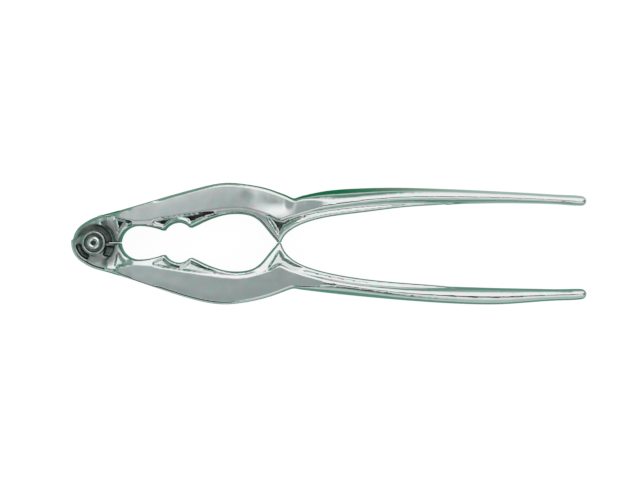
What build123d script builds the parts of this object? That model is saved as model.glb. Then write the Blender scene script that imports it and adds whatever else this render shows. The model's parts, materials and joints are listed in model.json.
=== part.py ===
"""Plated die-cast nutcracker: two arms that lap at a riveted knuckle, each with a jaw, two teeth,
a stop nose and a handle.

Both arms are drawn the same way, in millimetres about the rivet's axis: x runs along the arm, y is
outward, away from the other arm, and z runs along the rivet. That is the upper arm as it lies. The
lower arm is the same casting with its own outer edge and handle, turned half round about the x axis,
so its eye lies in front of the upper arm's eye. Outlines are lists of (x, y).
"""

import math
import os

from build123d import *

# Overall size
LENGTH = 170.0
DEPTH = 14.0
EYE_R = 7.45
TIP_X = LENGTH - EYE_R
FAR = 40.0
# The body's side walls lean in from the mid-plane by this share of their height
DRAFT = 0.06

# Knuckle: two lapped eyes, each with a boss on its outer side, and a shoulder beside the other's eye
KNUCKLE_H = 5.5
LAP_GAP = 0.05
EDGE_ROUND = 1.2
KNUCKLE_END = 8.4
ROUND_END_DEG = 125.0
UNDER_BODY = 0.05
EYE_EDGE_Y = 0.1
EYE_EDGE_SLOPE_DEG = 25.0
SHOULDER_R = 6.05
SHOULDER_END_DEG = 82.0
RING_R = 7.85
GROOVE_R = (6.55, 7.1)
GROOVE_DEG = (4, 76)
GROOVE_DEEP = 0.7
BESIDE_JAW_Y = 7.2
BOSS_R = 3.95
BOSS_H = 6.3
BOSS_ROUND = 0.35
SINK_R = 3.05
SINK_H = 5.6
EYE_POCKET = 1.6
RING_POCKET_R = (4.35, 5.9)
RING_POCKET_DEG = (110, 176)
SIDE_POCKET = [(4.2, 1.1), (6.6, 1.1), (6.8, 3.0), (5.6, 4.5), (3.0, 4.3)]

# Rivet: a domed head at the back and a rolled end with a hole at the front
SHANK_R = 1.6
BORE_CLEARANCE = 0.05
ROLL_R = 2.2
ROLL_H = 0.95
HOLE_R = 0.76
HOLE_DEPTH = 3.2
HEAD_R = 2.75
HEAD_H = 1.0
HEAD_RIM = 0.2
HEAD_GAP = 0.05

# Body, the thick outer part of an arm. Its outer edge turns sharply at the notch behind the jaw.
JAW_OUT = {
    "upper": [
        (0, 8.5), (6.7, 10.3), (20, 14.2), (33, 17.85), (43, 19.85), (50, 19.4), (56.8, 18.1), (66, 14.75),
    ],
    "lower": [
        (0, 8.5), (6.7, 10.4), (20, 14.8), (33, 18.9), (42, 20.4), (48.9, 19.9), (56.8, 18.2), (65.5, 15.1),
    ],
}
HANDLE_OUT = {
    "upper": [
        (66, 14.75), (70, 15.9), (76, 17.1), (86, 17.95), (99, 18.25), (117, 17.8), (144, 16.5), (160, 15.6),
        (165, 15.3),
    ],
    "lower": [
        (65.5, 15.1), (69, 15.6), (78, 16.7), (94, 18.3), (110, 19.6), (125, 20.35), (135, 20.35),
        (147, 19.5), (160, 18.8), (165, 18.5),
    ],
}
JAW_IN = [
    (3, 8.0), (7.2, 7.2), (14.8, 6.7), (22.4, 7.5), (33.7, 9.3), (41, 10.4), (47, 10.8), (52, 10.3),
    (57, 8.6), (61.3, 6.6),
]
HANDLE_IN = {
    "upper": [
        (61.3, 6.6), (66, 7.9), (72.5, 9.5), (83, 11.2), (99, 12.4), (118, 12.8), (144, 13.0), (160, 12.3),
        (165, 12.0),
    ],
    "lower": [
        (61.3, 6.6), (66, 8.4), (72.5, 10.1), (83, 12.3), (99, 13.8), (118, 14.5), (144, 15.2), (160, 15.3),
        (165, 15.2),
    ],
}
# Laws of the body's cross-section along x: whole depth, squareness of the outer and the inner half
# (2 is an ellipse), and the ridge's place as a share of the way from the inner to the outer edge
BODY_DEPTH = [
    (3, 10.8), (6, 12.4), (9, 14.5), (13, 15.9), (16, 16.0), (20, 16.0), (54, 16.0), (58, 16.0), (62, 15.6),
    (76, 14.1), (90, 13.0), (120, 10.6), (150, 8.2), (165, 7.4),
]
SQUARE_OUT = [(3, 6.0), (12, 11.0), (60, 11.0), (70, 5.0), (80, 2.5), (90, 2.6), (104, 3.2), (165, 3.2)]
SQUARE_IN = [(3, 5.0), (12, 8.0), (56, 8.0), (66, 5.0), (80, 3.4), (165, 3.2)]
RIDGE = [(3, 0.45), (62, 0.45), (82, 0.34), (100, 0.42), (120, 0.46), (165, 0.42)]
BODY_SECTIONS_X = [
    3, 6, 9, 13, 19, 26, 33, 39, 44, 49, 54, 58, 61.5, 64, 66, 67.5, 70, 74, 79, 86, 94, 103, 113, 124,
    135, 146, 155,
]
QUARTER_POINTS = 8
# The flat sides end in a taper along the handle's ridge, sunk below it by this law
LAND_START = 74.0
LAND_X = range(77, 99, 3)
LAND_SINK = [(77, 0.06), (80, 0.09), (86, 0.09), (92, 0.02), (98, -0.3)]
TIP_ROUND = 1.6
TIP_SLIM = 0.8
TIP_SECTIONS_DEG = [0, 22, 45, 67, 90]

# Web, the thinner inner part of an arm: openings, teeth, stop nose, and a rib along the handle
WEB_H = 6.9
WEB_FULL_Y = 9.6
WEB_SLOPE = 0.08
RIB_X = 64.0
RIB_LOW_X = 140.0
RIB_LOW_H = 1.2
WEB_START_R = 7.0
WEB_BACK = (4.0, 8.6)
SMALL_END = (8.6, 0.1)
SMALL_TOP = (14.3, 5.6)
SMALL_R = 5.6
TOOTH_1 = (23.1, 3.9)
SCALLOP_TOP = (28.1, 6.65)
TOOTH_2 = (31.8, 4.9)
LARGE_RISE = [(35.7, 6.75), (41, 8.8)]
LARGE_TOP = (46.9, 9.6)
LARGE_FALL = [(54.1, 7.55), (59.0, 2.0)]
STOP_Y = 0.05
NOSE = [(60.6, STOP_Y), (61.6, STOP_Y)]
HANDLE_RIB = {
    "upper": [
        (64.6, 4.1), (72.6, 7.6), (83, 9.5), (91, 10.45), (99, 11.5), (107, 12.2), (113, 12.55), (120, 12.95),
        (130, 13.6),
    ],
    "lower": [
        (64.6, 4.9), (72.6, 8.8), (83, 11.15), (91, 12.3), (99, 13.1), (107, 13.7), (113, 14.15), (120, 14.85),
        (130, 16.0),
    ],
}
POCKET_FLOOR_H = 6.6
POCKET_FLOOR_Y = 9.0
POCKET_SLOPE_DEG = 14.5
POCKET_ROUND = 0.3
SIDE_POCKET_ROUND = 0.35
WEB_POCKETS = {
    "beside_knuckle": [(7.6, 4.6), (8.0, 2.9), (9.0, 4.6), (10.3, 6.4), (10.3, 8.5), (6.9, 8.5)],
    "over_teeth": [
        (19.5, 6.4), (23.1, 5.3), (25.4, 7.2), (28.2, 8.0), (30.6, 7.4), (31.9, 6.2), (36, 7.9), (40, 9.3),
        (40, 12.5), (19, 9.5),
    ],
    "in_nose": [(61.1, 2.6), (62.6, 5.2), (66.0, 7.1), (72, 8.9), (72, 11.5), (55.5, 11.5), (58.2, 7.2)],
}

BOTTOM = (Align.CENTER, Align.CENTER, Align.MIN)


def on_circle(radius, degrees):
    """The point of a circle about the rivet at that angle."""
    angle = math.radians(degrees)
    return (radius * math.cos(angle), radius * math.sin(angle))


def outline(*points):
    """A face with straight sides."""
    return make_face(Polyline(*points, close=True))


def smooth(points):
    """y as a smooth function of x through the points, in cubic pieces with slopes from the neighbours."""
    xs = [float(point[0]) for point in points]
    ys = [float(point[1]) for point in points]
    rises = [(ys[i + 1] - ys[i]) / (xs[i + 1] - xs[i]) for i in range(len(xs) - 1)]
    slopes = [rises[0]]
    for i in range(1, len(xs) - 1):
        before, after = xs[i] - xs[i - 1], xs[i + 1] - xs[i]
        slopes.append((rises[i - 1] * after + rises[i] * before) / (before + after))
    slopes.append(rises[-1])

    def at(x):
        x = min(max(x, xs[0]), xs[-1])
        i = max(k for k in range(len(xs) - 1) if xs[k] <= x)
        step = xs[i + 1] - xs[i]
        t = (x - xs[i]) / step
        from_start = ys[i] * (1 + 2 * t) * (1 - t) ** 2 + slopes[i] * step * t * (1 - t) ** 2
        from_end = ys[i + 1] * t * t * (3 - 2 * t) + slopes[i + 1] * step * t * t * (t - 1)
        return from_start + from_end

    return at


def joined(first, second):
    """One function of x from two smooth ones that meet, at an angle, at the first one's last point."""
    before, after = smooth(first), smooth(second)
    return lambda x: before(x) if x <= first[-1][0] else after(x)


def body_edges(side):
    """The body's inner and outer edge as functions of x."""
    return joined(JAW_IN, HANDLE_IN[side]), joined(JAW_OUT[side], HANDLE_OUT[side])


def section(side, x, inset=0.0):
    """The body's cross-section at x: four quarters of superellipses that meet at a ridge."""
    inner, outer = body_edges(side)
    y_in, y_out = inner(x) + inset, outer(x) - inset
    half = smooth(BODY_DEPTH)(x) / 2 - inset
    ridge = y_in + smooth(RIDGE)(x) * (y_out - y_in)
    points = []
    for i in range(4 * QUARTER_POINTS):
        angle = math.pi / 2 * i / QUARTER_POINTS
        c, s = math.cos(angle), math.sin(angle)
        outward = c >= 0
        power = smooth(SQUARE_OUT if outward else SQUARE_IN)(x)
        radius = (abs(c) ** power + abs(s) ** power) ** (-1 / power)
        z = half * s * radius
        width = ((y_out - ridge) if outward else (ridge - y_in)) - DRAFT * abs(z)
        points.append((x, ridge + width * c * radius, z))
    return make_face(Spline(points, periodic=True))


def beyond_land():
    """The space above a flat side, whose end tapers along the handle's ridge."""
    flat = DEPTH / 2
    depth, sink = smooth(BODY_DEPTH), smooth(LAND_SINK)
    taper = [(x, depth(x) / 2 - sink(x)) for x in LAND_X]
    edge = [Line((-FAR, flat), (LAND_START, flat)), Spline((LAND_START, flat), *taper)]
    around = Polyline(taper[-1], (taper[-1][0], FAR), (-FAR, FAR), (-FAR, flat))
    return extrude(Plane.XZ * make_face(edge + [around]), amount=FAR, both=True)


def body(side):
    """The body, from beside the knuckle to the rounded tip, with flat sides where it is deepest."""
    sections = [section(side, x) for x in BODY_SECTIONS_X]
    for degrees in TIP_SECTIONS_DEG:
        turn = math.radians(degrees)
        x = TIP_X - TIP_ROUND * (1 - math.sin(turn))
        sections.append(section(side, x, TIP_SLIM * TIP_ROUND * (1 - math.cos(turn))))
    above = beyond_land()
    return loft(sections) - above - mirror(above, about=Plane.XY)


def free_edge(side):
    """The web's free edge: small opening, two teeth, large opening, stop nose and the handle's rib."""
    slant = SMALL_R / math.sqrt(2)
    return [
        ThreePointArc(SMALL_END, (SMALL_TOP[0] - slant, slant), SMALL_TOP),
        TangentArc(SMALL_TOP, TOOTH_1, tangent=(1, 0)),
        ThreePointArc(TOOTH_1, SCALLOP_TOP, TOOTH_2),
        Spline(TOOTH_2, *LARGE_RISE, LARGE_TOP, tangents=((1, 0.38), (1, 0))),
        Spline(LARGE_TOP, *LARGE_FALL, NOSE[0], tangents=((1, 0), (1, -1.6))),
        Line(*NOSE),
        Spline(NOSE[1], *HANDLE_RIB[side], tangents=((0.25, 1), (1, 0.08))),
    ]


def web_face(side):
    """The web in plan: its free edge, closed along the middle of the body."""
    inner, outer = body_edges(side)
    middle = [(x, 0.5 * (outer(x) + inner(x))) for x in (90, 66, 42, 10)]
    back = Polyline(HANDLE_RIB[side][-1], *middle, WEB_BACK, (WEB_BACK[0], SMALL_END[1]), SMALL_END)
    return make_face(free_edge(side) + [back]) - Circle(WEB_START_R)


def mirrored_outline(*points):
    """A face with straight sides through the points and through their images below the first axis."""
    return outline(*points, *[(first, -second) for first, second in reversed(points)])


def web(side):
    """The web: thinner towards its free edge and along the handle, with sunk pockets whose floors fall
    more steeply towards the free edge."""
    along = mirrored_outline((0, WEB_H), (RIB_X, WEB_H), (RIB_LOW_X, RIB_LOW_H), (TIP_X, RIB_LOW_H))
    across = mirrored_outline((0, WEB_H - WEB_SLOPE * WEB_FULL_Y), (WEB_FULL_Y, WEB_H), (FAR, WEB_H))
    solid = extrude(web_face(side), amount=WEB_H, both=True)
    solid &= extrude(Plane.XZ * along, amount=FAR, both=True)
    solid &= extrude(Plane.YZ * across, amount=LENGTH)
    floor = Pos(0, POCKET_FLOOR_Y, POCKET_FLOOR_H) * Rot(POCKET_SLOPE_DEG, 0, 0)
    over_floor = floor * Box(3 * LENGTH, FAR + FAR, DEPTH, align=BOTTOM)
    for points in WEB_POCKETS.values():
        face = outline(*points)
        face = fillet(face.vertices(), radius=POCKET_ROUND)
        cut = extrude(face, amount=DEPTH) & over_floor
        solid -= cut + mirror(cut, about=Plane.XY)
    return solid


def knuckle_plate(side, low, high):
    """The knuckle's outline as a plate with rounded rims, round about the rivet and then beside the jaw."""
    outer = smooth(JAW_OUT[side])
    beside = [(x, outer(x) - UNDER_BODY) for x in (0, 3.5, KNUCKLE_END)]
    turn = math.radians(ROUND_END_DEG)
    round_end = CenterArc((0, 0), EYE_R, ROUND_END_DEG, 270 - ROUND_END_DEG)
    top = Spline(
        on_circle(EYE_R, ROUND_END_DEG), *beside, tangents=((math.sin(turn), -math.cos(turn)), (1, 0.29)))
    down = Polyline(beside[-1], (KNUCKLE_END, -EYE_R), (0, -EYE_R))
    plate = extrude(Plane.XY.offset(low) * make_face([round_end, top, down]), amount=high - low)
    rims = plate.faces().filter_by(Axis.Z).edges().filter_by(Axis.Y, reverse=True)
    plate = fillet(rims, radius=EDGE_ROUND)
    kept = Circle(RING_R) + Pos(0, BESIDE_JAW_Y) * Rectangle(2 * FAR, FAR, align=(Align.CENTER, Align.MIN))
    return plate & extrude(kept, amount=DEPTH, both=True)


def eye_space():
    """The space that an eye keeps: above its two straight edges, with the boss's circle."""
    slope = math.radians(EYE_EDGE_SLOPE_DEG)
    touch = on_circle(BOSS_R, 270 - EYE_EDGE_SLOPE_DEG)
    far = (touch[0] - FAR * math.cos(slope), touch[1] + FAR * math.sin(slope))
    above = outline(far, touch, (0, 0), (BOSS_R, EYE_EDGE_Y), (FAR, EYE_EDGE_Y), (FAR, FAR), (-FAR, FAR))
    return extrude(above + Circle(BOSS_R), amount=DEPTH, both=True)


def shoulder_space():
    """The space that a shoulder keeps: a sector, hollow in front for the other arm's eye."""
    sector = outline(
        (0, EYE_EDGE_Y), (FAR, EYE_EDGE_Y), (FAR, FAR), on_circle(FAR, SHOULDER_END_DEG), (0, EYE_EDGE_Y + 1))
    hollow = Pos(0, 0, -LAP_GAP) * Cylinder(SHOULDER_R, DEPTH, align=BOTTOM)
    return extrude(sector, amount=DEPTH, both=True) - hollow


def ring_part(radii, degrees):
    """Part of a ring about the rivet, between two angles."""
    first, last = degrees
    corners = [on_circle(FAR, angle) for angle in (first, 0.5 * (first + last), last)]
    return (Circle(radii[1]) - Circle(radii[0])) & outline((0, 0), *corners)


def eye_pockets():
    """The pockets sunk in an eye's outer side: part of a ring inside the rim, and one beside the jaw."""
    side = outline(*SIDE_POCKET)
    return [ring_part(RING_POCKET_R, RING_POCKET_DEG), fillet(side.vertices(), radius=SIDE_POCKET_ROUND)]


def knuckle(side):
    """The eye with its boss in the back half of the depth, and the shoulder, which is full depth."""
    eye = knuckle_plate(side, -KNUCKLE_H, -LAP_GAP) & eye_space()
    shoulder = knuckle_plate(side, -KNUCKLE_H, KNUCKLE_H) & shoulder_space()
    solid = eye + shoulder
    solid -= extrude(Plane.XY.offset(KNUCKLE_H) * ring_part(GROOVE_R, GROOVE_DEG), amount=-GROOVE_DEEP)
    for face in eye_pockets():
        solid -= extrude(Plane.XY.offset(-KNUCKLE_H) * face, amount=EYE_POCKET)
    boss = Cylinder(BOSS_R, BOSS_H - KNUCKLE_H + EYE_POCKET, align=BOTTOM)
    boss = fillet(boss.edges().group_by(Axis.Z)[0], radius=BOSS_ROUND)
    return solid + Pos(0, 0, -BOSS_H) * boss


def arm(side, bore_r):
    """One whole casting, bored and countersunk for the rivet, in the upper arm's place."""
    casting = body(side) + web(side) + knuckle(side)
    bore = Cylinder(bore_r, 2 * DEPTH)
    sink = Pos(0, 0, -DEPTH) * Cylinder(SINK_R, DEPTH - SINK_H, align=BOTTOM)
    return casting - (bore + sink)


def rivet():
    """The rivet, turned about its axis, with a running gap under its head."""
    top = SINK_H + ROLL_H
    hole_floor = top - HOLE_DEPTH
    seat = -SINK_H - HEAD_GAP
    head_rim = (HEAD_R, seat - HEAD_RIM)
    profile = make_face([
        Line((0, seat - HEAD_H), (0, hole_floor)),
        Polyline((0, hole_floor), (HOLE_R, hole_floor + HOLE_R / 2), (HOLE_R, top - ROLL_H / 2)),
        ThreePointArc((HOLE_R, top - ROLL_H / 2), (0.5 * (HOLE_R + ROLL_R), top), (ROLL_R, SINK_H)),
        Polyline((ROLL_R, SINK_H), (SHANK_R, SINK_H), (SHANK_R, seat), (HEAD_R, seat), head_rim),
        TangentArc((0, seat - HEAD_H), head_rim, tangent=(1, 0)),
    ])
    return revolve(Plane.XZ * profile, axis=Axis.Z)


def main():
    """Writes each piece with the origin under the middle of the closed tool."""
    os.makedirs("parts", exist_ok=True)
    place = Pos(EYE_R - LENGTH / 2, 0, DEPTH / 2)
    turned_over = Rot(180, 0, 0)
    export_step(place * arm("upper", SHANK_R + BORE_CLEARANCE), "parts/upper_arm.step")
    export_step(place * turned_over * arm("lower", SHANK_R), "parts/lower_arm.step")
    export_step(place * rivet(), "parts/rivet.step")


main()
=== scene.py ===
"""A plated die-cast nutcracker lying flat on a pale studio floor, seen from straight above."""

import json
import math

import bpy
import numpy as np
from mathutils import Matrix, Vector
from mathutils.kdtree import KDTree


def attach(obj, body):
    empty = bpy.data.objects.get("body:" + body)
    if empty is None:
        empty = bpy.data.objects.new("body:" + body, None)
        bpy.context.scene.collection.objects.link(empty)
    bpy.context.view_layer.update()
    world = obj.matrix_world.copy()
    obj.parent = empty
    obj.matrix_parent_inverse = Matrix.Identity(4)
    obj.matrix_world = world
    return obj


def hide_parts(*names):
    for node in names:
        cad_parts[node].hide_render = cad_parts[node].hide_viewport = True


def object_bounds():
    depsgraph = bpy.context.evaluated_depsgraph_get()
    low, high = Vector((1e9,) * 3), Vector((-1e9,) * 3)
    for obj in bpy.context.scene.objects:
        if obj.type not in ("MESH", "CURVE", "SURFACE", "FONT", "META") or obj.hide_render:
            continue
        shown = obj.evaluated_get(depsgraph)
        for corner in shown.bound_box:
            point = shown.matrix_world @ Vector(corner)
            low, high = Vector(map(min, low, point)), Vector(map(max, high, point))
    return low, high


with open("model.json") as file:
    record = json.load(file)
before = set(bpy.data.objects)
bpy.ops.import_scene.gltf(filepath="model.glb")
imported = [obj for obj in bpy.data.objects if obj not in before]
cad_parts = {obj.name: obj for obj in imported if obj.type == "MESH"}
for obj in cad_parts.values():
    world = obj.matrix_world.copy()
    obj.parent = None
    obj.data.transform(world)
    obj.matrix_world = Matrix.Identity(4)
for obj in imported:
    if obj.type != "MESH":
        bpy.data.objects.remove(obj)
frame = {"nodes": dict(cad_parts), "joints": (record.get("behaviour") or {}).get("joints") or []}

MM = 0.001
CAD_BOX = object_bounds()
LOW, HIGH = CAD_BOX
PIVOT = Vector(frame["joints"][0]["pos_m"])
MID_Z = 0.5 * (LOW.z + HIGH.z)

# Meshes: sizes of the remeshing grids, and how often the surfaces are smoothed
VOXEL = 0.30 * MM
FINE_PASSES = 4
BROAD_PASSES = 40
RIVET_VOXEL = 0.10 * MM
RIVET_PASSES = 3

# Heights above and below the middle of the depth
HALF_DEPTH = 7 * MM
FLAT_FROM = 6.95 * MM
WALL_BAND = 0.35 * MM

# Laws along x, in millimetres from the pivot: the radius of the web's free edges, and its half depth
FREE_EDGE_ROUND = {
    "upper_arm": [(8, 0.9), (18, 0.7), (21, 1.5), (38, 1.5), (42, 0.7), (113, 0.5), (125, 0)],
    "lower_arm": [(8, 0.9), (20, 0.5), (24, 0.2), (40, 0.2), (45, 0.6), (113, 0.5), (125, 0)],
}
WEB_HEIGHT = [(64, 6.5), (113, 3.4)]

# Where a finish works along x, in millimetres from the pivot: it starts, is full, wanes and has ended
JAW_SPAN = (9, 13, 66, 74)
WAIST_SPAN = (48, 60, 62, 67)
FLUSH_SPAN = (11, 13, 19, 23)
WEB_SPAN = (9, 12, 50, 55)

# Where something sets in, in millimetres: along x, across from the pivot, in height, or in from the flat
HANDLE_SETS_IN = (72, 84)
WAIST_SETS_IN = (7.5, 13.5)
JAW_SETS_IN = (3, 6)
ROUNDING_SETS_IN = (5.5, 6.9)
FLUSH_SETS_IN = (6.1, 6.4)
WEB_SETS_IN = (-1.4, -0.6)
WEB_DEPTH_SETS_IN = (3.5, 4.5)

# From where to where along x the flats and the walls are looked for, in millimetres from the pivot
FLAT_ENDS = (8, 74)
WALL_ENDS = (7, 126)

# Hand finish of the jaw
CROWN_WIDTH = 3.5 * MM
CROWN_DROP = 0.035 * MM
OUTER_ROUND = 1.1 * MM
WAIST_DROP = {"upper_arm": 0.22 * MM, "lower_arm": 0.0}
WEB_FALL = 0.10
WEB_WIDTH = 5 * MM

# Painted shade in the knuckle's hollows: radii round the pivot, the neck beside it, and how dark the
# painted shade on each part is
COUNTERSINK_RADIUS = 3.1 * MM
BOSS_RADIUS = 3.85 * MM
BOSS_OUTSIDE = 3.9 * MM
GROOVE = (3.75 * MM, 6.3 * MM)
GROOVE_TOP = 4.7 * MM
EYE_RADIUS = 6.5 * MM
NECK_FROM = 2.5 * MM
NECK_HALF_WIDTH = 7.4 * MM
NECK_FADES = (7.5, 10.5)
EYE_DARK = 0.6
NECK_DARK = 0.75
BOSS_DARK = 0.35
RECESS_PASSES = 3
RIVET_HOLE = 0.72 * MM

# Camera, straight above
LENS_MM = 150.0
SENSOR_MM = 36.0
VIEW_WIDTH = 0.2120
VIEW_CENTRE = (-0.0030, 0.00093)


def link(obj):
    """Puts an object in the scene."""
    bpy.context.scene.collection.objects.link(obj)
    return obj


# ---------------------------------------------------------------- meshes


def neighbour_mean(co, edges, count):
    """The mean place of each vertex's neighbours."""
    total = np.zeros_like(co)
    for axis in range(co.shape[1]):
        total[:, axis] = np.bincount(edges[:, 0], co[edges[:, 1], axis], len(co))
        total[:, axis] += np.bincount(edges[:, 1], co[edges[:, 0], axis], len(co))
    return total / count


def smoothed(co, edges, passes, weight):
    """Smooths without shrinking: each pass pulls a vertex in and pushes it back out by a little more."""
    count = np.bincount(edges.ravel(), minlength=len(co)).reshape(-1, 1).astype(float)
    for _ in range(passes):
        for push in (0.5, -0.526):
            co = co + weight * push * (neighbour_mean(co, edges, count) - co)
    return co


def relaxed(field, edges, passes):
    """Spreads a field of values over the surface."""
    count = np.bincount(edges.ravel(), minlength=len(field)).reshape(-1, 1).astype(float)
    for _ in range(passes):
        field = 0.5 * (field + neighbour_mean(field, edges, count))
    return field


def ramp(value, start, end):
    """0 before start, 1 after end, smooth between."""
    t = np.clip((value - start) / (end - start), 0.0, 1.0)
    return t * t * (3 - 2 * t)


def read(mesh, layer, kind, size):
    """A property of a mesh's vertices or edges as an array."""
    items = getattr(mesh, layer)
    values = np.empty(len(items) * size, dtype=np.int64 if kind == "vertices" else np.float64)
    items.foreach_get(kind, values)
    return values.reshape(-1, size)


def store(mesh, name, values):
    """Keeps a value for each vertex under a name that a material can read."""
    mesh.attributes.new(name, "FLOAT", "POINT").data.foreach_set("value", values.ravel())


def shaped(mesh, co, name):
    """The smooth-shaded object of a mesh with its points moved, kept inside the CAD model's box."""
    mesh.vertices.foreach_set("co", np.clip(co, LOW, HIGH).ravel())
    mesh.update()
    for polygon in mesh.polygons:
        polygon.use_smooth = True
    return link(bpy.data.objects.new(name, mesh))


def remeshed(source, name, voxel):
    """An even mesh of quads in the shape of a CAD solid."""
    rough = link(bpy.data.objects.new("rough_" + name, source.data.copy()))
    remesh = rough.modifiers.new("remesh", "REMESH")
    remesh.mode = "VOXEL"
    remesh.voxel_size = voxel
    graph = bpy.context.evaluated_depsgraph_get()
    mesh = bpy.data.meshes.new_from_object(rough.evaluated_get(graph))
    bpy.data.objects.remove(rough)
    mesh.name = name
    return mesh


def plan_distance(co, places):
    """How far each point lies in plan from the nearest of some places."""
    tree = KDTree(len(places))
    for i, (x, y) in enumerate(places):
        tree.insert((x, y, 0), i)
    tree.balance()
    return np.array([tree.find((x, y, 0))[2] for x, y in co[:, :2]])


def law(x, stops):
    """A quantity in metres that changes along x by stops in millimetres."""
    return MM * np.interp(x / MM, [stop[0] for stop in stops], [stop[1] for stop in stops])


def sets_in(value, span):
    """0 before a span in millimetres, 1 after it, smooth between."""
    return ramp(value, span[0] * MM, span[1] * MM)


def along(x, span):
    """1 in the middle of a span of four places in millimetres, and smoothly 0 past its ends."""
    return sets_in(x, span[:2]) * (1 - sets_in(x, span[2:]))


def inside_flat(co, side):
    """How far each point of an arm lies in from the inner limit of its flats, which is evened out."""
    x = co[:, 0] - PIVOT.x
    across, up = co[:, 1] * side, np.abs(co[:, 2] - MID_Z)
    flat = up > FLAT_FROM
    places = np.arange(*FLAT_ENDS) * MM
    limits = np.array([across[flat & (np.abs(x - place) < MM)].min() for place in places])
    padded = np.pad(limits, 2, mode="edge")
    even = np.convolve(padded, np.ones(5) / 5, mode="valid")
    limit = np.interp(x, places, even, left=-1.0, right=-1.0)
    return limit - across


def wall_places(mesh, co, side):
    """Where an arm's inner and outer walls stand in plan."""
    normals = read(mesh, "vertices", "normal", 3)
    x, up = co[:, 0] - PIVOT.x, co[:, 2] - MID_Z
    wall = (np.abs(up) < WALL_BAND) & (np.abs(normals[:, 2]) < 0.5) & (x > WALL_ENDS[0] * MM)
    facing = normals[:, 1] * side
    inner = wall & (facing < 0.35) & (x < WALL_ENDS[1] * MM)
    return co[inner, :2], co[wall & (facing > 0.6), :2]


def hand_finished(mesh, co, node, side):
    """Rounds an arm's edges, crowns and dips its flats, and fills up the web beside the small opening."""
    x, across, up = co[:, 0] - PIVOT.x, co[:, 1] * side, co[:, 2] - MID_Z
    near = (x > (WALL_ENDS[0] - 1) * MM) & (x < (WALL_ENDS[1] + 2) * MM)
    inner_wall, outer_wall = wall_places(mesh, co, side)

    radius = law(x[near], FREE_EDGE_ROUND[node])
    inside = np.clip(radius - plan_distance(co[near], inner_wall), 0, None)
    drop = np.zeros(len(co))
    drop[near] = (radius - np.sqrt(radius * radius - inside * inside)) / law(x[near], WEB_HEIGHT)
    up = up * (1 - drop)

    edge = np.full(len(co), CROWN_WIDTH)
    edge[near] = plan_distance(co[near], outer_wall)
    crown = np.clip(1 - edge / CROWN_WIDTH, 0, 1) ** 2
    over = np.clip(OUTER_ROUND - edge, 0, None)
    rounding = OUTER_ROUND - np.sqrt(OUTER_ROUND ** 2 - over * over)
    rounding *= sets_in(np.abs(up), ROUNDING_SETS_IN)
    waist = along(x, WAIST_SPAN) * sets_in(across, WAIST_SETS_IN)
    jaw = along(x, JAW_SPAN) * sets_in(np.abs(up), JAW_SETS_IN)
    up -= np.sign(up) * jaw * (CROWN_DROP * crown + WAIST_DROP[node] * waist + rounding)

    inward = np.clip(inside_flat(co, side), 0, WEB_WIDTH)
    flush = along(x, FLUSH_SPAN) * sets_in(np.abs(up), FLUSH_SETS_IN)
    up += np.sign(up) * flush * np.clip(HALF_DEPTH - WEB_FALL * inward - np.abs(up), 0, None)
    return np.column_stack((co[:, :2], up + MID_Z))


def paint_recess_shade(mesh, co, edges):
    """Marks painted shade by how far each point is inside the knuckle's hollow: eye, neck, groove, boss and
    countersink are darkened.
    """
    out = np.hypot(co[:, 0] - PIVOT.x, co[:, 1])
    past_boss = out > BOSS_OUTSIDE
    neck = past_boss & (co[:, 0] - PIVOT.x > NECK_FROM) & (np.abs(co[:, 1]) < NECK_HALF_WIDTH)
    groove = (out > GROOVE[0]) & (out < GROOVE[1]) & (np.abs(co[:, 2] - MID_Z) < GROOVE_TOP)
    # painted shade: each part of the hollow round the pivot gets its own darkness
    shade = np.where(past_boss & (out < EYE_RADIUS), EYE_DARK, 0.0)
    shade = np.where(neck, NECK_DARK * (1 - sets_in(out, NECK_FADES)), shade)
    shade = np.where(groove, 1.0, shade)
    shade = np.where(out < BOSS_RADIUS, BOSS_DARK, shade)
    shade = np.where(out < COUNTERSINK_RADIUS, 1.0, shade)
    # the painted shade is spread a little over the surface and stored for the material
    store(mesh, "recess_shade", relaxed(shade.reshape(-1, 1), edges, RECESS_PASSES))


def cast_arm(node, name, side):
    """A casting from a CAD arm, with web and handle smoothed broadly and its edges finished by hand."""
    mesh = remeshed(frame["nodes"][node], name, VOXEL)
    co = read(mesh, "vertices", "co", 3)
    edges = read(mesh, "edges", "vertices", 2)
    co = smoothed(co, edges, FINE_PASSES, 1.0)
    mesh.vertices.foreach_set("co", co.ravel())
    mesh.update()
    x, up = co[:, 0] - PIVOT.x, np.abs(co[:, 2] - MID_Z)
    web = sets_in(inside_flat(co, side), WEB_SETS_IN) * sets_in(up, WEB_DEPTH_SETS_IN)
    broad = np.maximum(sets_in(x, HANDLE_SETS_IN), web * along(x, WEB_SPAN))
    co = smoothed(co, edges, BROAD_PASSES, broad.reshape(-1, 1))
    co = hand_finished(mesh, co, node, side)
    paint_recess_shade(mesh, co, edges)
    return shaped(mesh, co, name)


def turned_rivet(name):
    """The rivet with a smooth turned and rolled surface, and painted shade in its hole."""
    mesh = remeshed(frame["nodes"]["rivet"], name, RIVET_VOXEL)
    edges = read(mesh, "edges", "vertices", 2)
    co = smoothed(read(mesh, "vertices", "co", 3), edges, RIVET_PASSES, 1.0)
    # painted shade: the hole in the rivet's top is marked fully dark
    hole = (np.hypot(co[:, 0] - PIVOT.x, co[:, 1]) < RIVET_HOLE) & (co[:, 2] > MID_Z)
    store(mesh, "recess_shade", hole.astype(float))
    return shaped(mesh, co, name)


# ---------------------------------------------------------------- materials

CHROME = (0.80, 0.81, 0.81)
RIVET_STEEL = (0.93, 0.91, 0.89)
COOL_SHIFT = (0.90, 1.0, 0.98)
WARM_SHIFT = (1.0, 0.93, 0.95)
# near-black colour of the painted shade in the knuckle's hollows and the rivet's hole
PAINTED_SHADE_COLOUR = (0.035, 0.045, 0.042)


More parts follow.
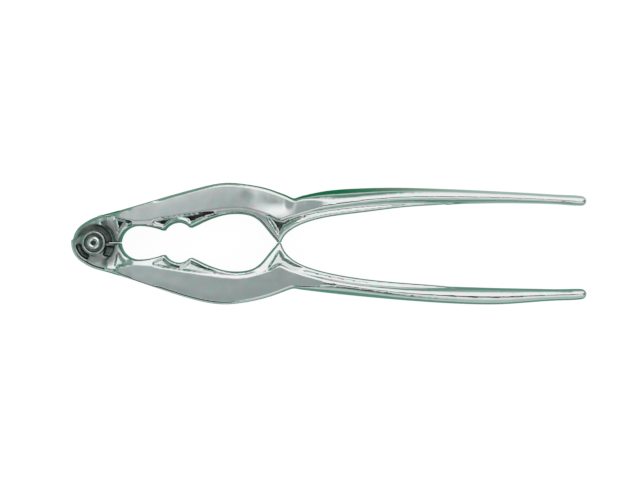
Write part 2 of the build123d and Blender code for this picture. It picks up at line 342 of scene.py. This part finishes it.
class Nodes:
    """Short calls for building a node tree."""

    def __init__(self, tree):
        self.tree = tree
        tree.nodes.clear()

    def put(self, socket, value):
        if isinstance(value, bpy.types.NodeSocket):
            self.tree.links.new(value, socket)
        else:
            socket.default_value = value

    def add(self, kind, inputs=None, **settings):
        node = self.tree.nodes.new(kind)
        for key, value in settings.items():
            setattr(node, key, value)
        for key, value in (inputs or {}).items():
            self.put(node.inputs[key], value)
        return node

    def math(self, operation, a, b=0.5):
        return self.add("ShaderNodeMath", {0: a, 1: b}, operation=operation).outputs[0]

    def remap(self, value, low, high, to_low=0.0, to_high=1.0):
        ends = {"Value": value, "From Min": low, "From Max": high, "To Min": to_low, "To Max": to_high}
        return self.add("ShaderNodeMapRange", ends, interpolation_type="SMOOTHSTEP").outputs[0]

    def mix(self, factor, a, b):
        return self.add("ShaderNodeMix", {0: factor, 6: a, 7: b}, data_type="RGBA").outputs[2]

    def noise(self, vector, scale, detail=3.0, rough=0.5):
        values = {"Vector": vector, "Scale": scale, "Detail": detail, "Roughness": rough}
        return self.add("ShaderNodeTexNoise", values).outputs["Fac"]

    def bump(self, height, strength, distance, under=None):
        values = {"Height": height, "Strength": strength, "Distance": distance}
        if under is not None:
            values["Normal"] = under
        return self.add("ShaderNodeBump", values).outputs[0]

    def ramp(self, value, stops):
        """A colour ramp through stops of (place, colour)."""
        node = self.add("ShaderNodeValToRGB", {0: value})
        elements = node.color_ramp.elements
        while len(elements) < len(stops):
            elements.new(0.5)
        for element, (place, colour) in zip(elements, stops):
            element.position = place
            element.color = rgba(colour)
        return node.outputs[0]


def rgba(colour):
    """Four numbers from a colour or a grey."""
    return (*(colour if isinstance(colour, tuple) else (colour,) * 3), 1.0)


def plating(name, tone):
    """Bright plating over a polished casting: slight ripple, hazy patches, dull in recesses, and painted
    shade darkening the recesses.
    """
    material = bpy.data.materials.new(name)
    material.use_nodes = True
    n = Nodes(material.node_tree)
    place = n.add("ShaderNodeTexCoord").outputs["Object"]
    # reads the painted shade marked on the knuckle's hollows and the rivet's hole
    recess_shade = n.add("ShaderNodeAttribute", attribute_name="recess_shade").outputs["Fac"]
    haze = n.noise(place, 220.0, 4.0, 0.6)
    mottle = n.noise(place, 420.0, 3.0, 0.7)
    ripple = n.noise(place, 160.0, 1.0)
    grain = n.noise(place, 2600.0, 2.0)
    cool, warm = (rgba(tuple(c * k for c, k in zip(tone, shift))) for shift in (COOL_SHIFT, WARM_SHIFT))
    colour = n.mix(n.remap(mottle, 0.35, 0.65), cool, warm)
    # painted shade: the marked hollows are mixed towards a near-black colour, a little unevenly
    painted_shade = n.math("MULTIPLY", recess_shade, n.remap(mottle, 0.2, 0.7, 0.99, 0.80))
    colour = n.mix(painted_shade, colour, rgba(PAINTED_SHADE_COLOUR))
    roughness = n.math("ADD", n.remap(haze, 0.3, 0.75, 0.06, 0.14), n.math("MULTIPLY", recess_shade, 0.22))
    normal = n.bump(ripple, 0.25, 0.10 * MM)
    normal = n.bump(grain, 0.10, 0.01 * MM, normal)
    values = {"Base Color": colour, "Metallic": 1.0, "Roughness": roughness, "Normal": normal}
    shader = n.add("ShaderNodeBsdfPrincipled", values)
    n.add("ShaderNodeOutputMaterial", {"Surface": shader.outputs[0]})
    return material


# ---------------------------------------------------------------- studio

# The floor, and in metres where the table that it mirrors changes: from front to back, with the distance
# from the object's middle line, along the handles, and where its green gives way to the pale room
FLOOR_REACH = 3.0
FLOOR_GAP = 0.05 * MM
FRONT_TO_BACK = (-0.012, 0.015)
NEAR_TO_FAR = (0.03, 0.15)
ALONG_HANDLES = (0.0, 0.06)
GREEN_TO_PALE = (0.026, 0.040)

# What polished metal mirrors: a grey ceiling, a bright soft box behind, a dark strip in front, a green
# table close by and a pale room beyond it. The ramps give colours by degrees from straight up.
CEILING = (0.34, 0.40, 0.39)
NEAR_GREEN = (0.005, 0.17, 0.07)
NEAR_TEAL = (0.12, 0.30, 0.23)
FAR_GREEN = (0.03, 0.22, 0.12)
FAR_TEAL = (0.20, 0.41, 0.33)
HANDLE_TEAL = (0.42, 0.56, 0.49)
PALE_ROOM = (0.60, 0.66, 0.64)
BACK_LEFT = [
    (0, CEILING), (1.5, CEILING), (7, 1.15), (20, 1.1), (32, 0.9), (45, (0.32, 0.44, 0.39)),
    (60, (0.12, 0.30, 0.22)), (90, FAR_GREEN), (180, NEAR_GREEN),
]
BACK_RIGHT = [
    (0, 1.15), (16, 1.1), (30, 0.9), (40, 0.62), (60, (0.31, 0.47, 0.41)), (75, (0.10, 0.30, 0.20)),
    (90, FAR_GREEN), (180, NEAR_GREEN),
]
FRONT_LEFT = [
    (0, CEILING), (8.5, CEILING), (12, 0.70), (16, 0.65), (21, 0.012), (42, 0.012),
    (58, (0.16, 0.33, 0.26)), (90, FAR_TEAL), (180, NEAR_TEAL),
]
FRONT_RIGHT = [
    (0, 0.95), (16, 0.95), (29, 0.88), (47, (0.60, 0.68, 0.65)), (72, (0.36, 0.55, 0.47)), (90, FAR_TEAL),
    (180, NEAR_TEAL),
]
KNUCKLE_END = [
    (0, CEILING), (8, CEILING), (16, (0.26, 0.42, 0.36)), (70, (0.16, 0.34, 0.27)), (90, FAR_TEAL),
    (180, NEAR_GREEN),
]
BACK_FAR_RIGHT = [(0, 1.1), (55, 1.05), (78, 0.85), (90, (0.44, 0.58, 0.51)), (180, HANDLE_TEAL)]
PAST_BOX = [
    (0, CEILING), (10, CEILING), (30, (0.20, 0.38, 0.30)), (60, (0.10, 0.30, 0.20)), (90, FAR_GREEN),
    (180, NEAR_GREEN),
]
TIP_END = [
    (0, 1.0), (20, 0.8), (35, (0.16, 0.34, 0.27)), (60, (0.04, 0.20, 0.12)), (90, FAR_GREEN),
    (180, NEAR_GREEN),
]


def studio_floor():
    """A pale floor, which polished metal mirrors as a green table that turns pale with distance."""
    corners = [(x * FLOOR_REACH, y * FLOOR_REACH, 0) for x, y in ((-1, -1), (1, -1), (1, 1), (-1, 1))]
    mesh = bpy.data.meshes.new("floor")
    mesh.from_pydata(corners, [], [(0, 1, 2, 3)])
    floor = link(bpy.data.objects.new("floor", mesh))
    floor.location.z = LOW.z - FLOOR_GAP
    material = bpy.data.materials.new("floor")
    material.use_nodes = True
    n = Nodes(material.node_tree)
    x, y, _ = n.add("ShaderNodeSeparateXYZ", {0: n.add("ShaderNodeTexCoord").outputs["Object"]}).outputs
    past_end = n.math("MAXIMUM", n.math("SUBTRACT", n.math("ABSOLUTE", x), HIGH.x), 0.0)
    across = n.math("ABSOLUTE", y)
    squares = (n.math("MULTIPLY", length, length) for length in (past_end, across))
    away = n.math("SQRT", n.math("ADD", *squares))
    far = n.remap(away, *NEAR_TO_FAR)
    back = n.remap(y, *FRONT_TO_BACK)
    near_table = n.mix(back, rgba(NEAR_TEAL), rgba(NEAR_GREEN))
    far_table = n.mix(back, rgba(FAR_TEAL), rgba(FAR_GREEN))
    table = n.mix(far, near_table, far_table)
    table = n.mix(n.math("MULTIPLY", back, n.remap(x, *ALONG_HANDLES)), table, rgba(HANDLE_TEAL))
    out = n.math("MULTIPLY", away, n.remap(y, *FRONT_TO_BACK, 0.9, 0.55))
    table = n.mix(n.remap(out, *GREEN_TO_PALE), table, rgba(PALE_ROOM))
    mirrored = n.add("ShaderNodeEmission", {"Color": table}).outputs[0]
    lit = n.add("ShaderNodeBsdfDiffuse", {"Color": rgba(0.12)}).outputs[0]
    glow = n.add("ShaderNodeEmission", {"Color": rgba(0.93)}).outputs[0]
    pale = n.add("ShaderNodeAddShader", {0: lit, 1: glow}).outputs[0]
    glossy = n.add("ShaderNodeLightPath").outputs["Is Glossy Ray"]
    shader = n.add("ShaderNodeMixShader", {0: glossy, 1: pale, 2: mirrored}).outputs[0]
    n.add("ShaderNodeOutputMaterial", {"Surface": shader})
    mesh.materials.append(material)


def studio_world():
    """Even soft light, and for the metal's reflections a ceiling, soft box, dark strip and room."""
    world = bpy.data.worlds.new("studio")
    bpy.context.scene.world = world
    world.use_nodes = True
    n = Nodes(world.node_tree)
    direction = n.add("ShaderNodeTexCoord").outputs["Generated"]
    x, y, z = n.add("ShaderNodeSeparateXYZ", {0: direction}).outputs
    tilt = n.math("DIVIDE", n.math("ARCCOSINE", z), math.pi)

    def room(stops):
        return n.ramp(tilt, [(degrees / 180.0, colour) for degrees, colour in stops])

    right = n.remap(x, 0.02, 0.06)
    past_box = n.math("ADD", n.math("MULTIPLY", n.math("ABSOLUTE", y), 0.10), x)
    back = n.mix(n.remap(past_box, -0.10, -0.07), room(PAST_BOX), room(BACK_LEFT))
    back = n.mix(right, back, room(BACK_RIGHT))
    back = n.mix(n.remap(x, 0.055, 0.11), back, room(BACK_FAR_RIGHT))
    strip = n.math("MULTIPLY", n.remap(y, -0.21, -0.13), n.remap(z, 0.90, 0.95))
    strip = n.math("MULTIPLY", strip, n.remap(x, 0.14, 0.22, 1.0, 0.4))
    front_right = n.mix(strip, room(FRONT_RIGHT), rgba(0.01))
    front = n.mix(right, room(FRONT_LEFT), front_right)
    seen = n.mix(n.remap(y, -0.03, 0.01), front, back)
    sideways = n.math("MULTIPLY", n.math("ABSOLUTE", y), 1.3)
    to_knuckle = n.math("SUBTRACT", n.math("MULTIPLY", x, -1.0), sideways)
    seen = n.mix(n.remap(to_knuckle, 0.0, 0.2), seen, room(KNUCKLE_END))
    to_tips = n.math("SUBTRACT", x, sideways)
    seen = n.mix(n.remap(to_tips, 0.15, 0.35), seen, room(TIP_END))
    level = n.math("MULTIPLY", n.remap(z, 0.42, 0.15), n.remap(y, -0.03, 0.01, 0.65, 0.25))
    seen = n.mix(level, seen, rgba(PALE_ROOM))
    mirrored = n.add("ShaderNodeBackground", {"Color": seen}).outputs[0]
    even = n.add("ShaderNodeBackground", {"Color": rgba(1.0)}).outputs[0]
    glossy = n.add("ShaderNodeLightPath").outputs["Is Glossy Ray"]
    shader = n.add("ShaderNodeMixShader", {0: glossy, 1: even, 2: mirrored}).outputs[0]
    n.add("ShaderNodeOutputWorld", {"Surface": shader})


def camera():
    """Looks straight down, as the photograph does."""
    data = bpy.data.cameras.new("camera")
    data.lens = LENS_MM
    data.sensor_width = SENSOR_MM
    data.clip_start = 0.01
    data.clip_end = 20
    cam = link(bpy.data.objects.new("camera", data))
    cam.location = (*VIEW_CENTRE, MID_Z + VIEW_WIDTH * LENS_MM / SENSOR_MM)
    bpy.context.scene.camera = cam


def place_piece(piece, material, body, node):
    """Gives a piece its material and body, and lets it stand for a CAD node."""
    piece.data.materials.clear()
    piece.data.materials.append(material)
    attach(piece, body)
    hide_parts(node)


def main():
    bpy.context.scene.view_settings.view_transform = "Standard"
    camera()
    studio_floor()
    studio_world()
    chrome = plating("arm_plating", CHROME)
    for arm, side in (("upper_arm", 1), ("lower_arm", -1)):
        place_piece(cast_arm(arm, arm + "_casting", side), chrome, arm, arm)
    steel = plating("rivet_plating", RIVET_STEEL)
    place_piece(turned_rivet("turned_rivet"), steel, "lower_arm", "rivet")


main()
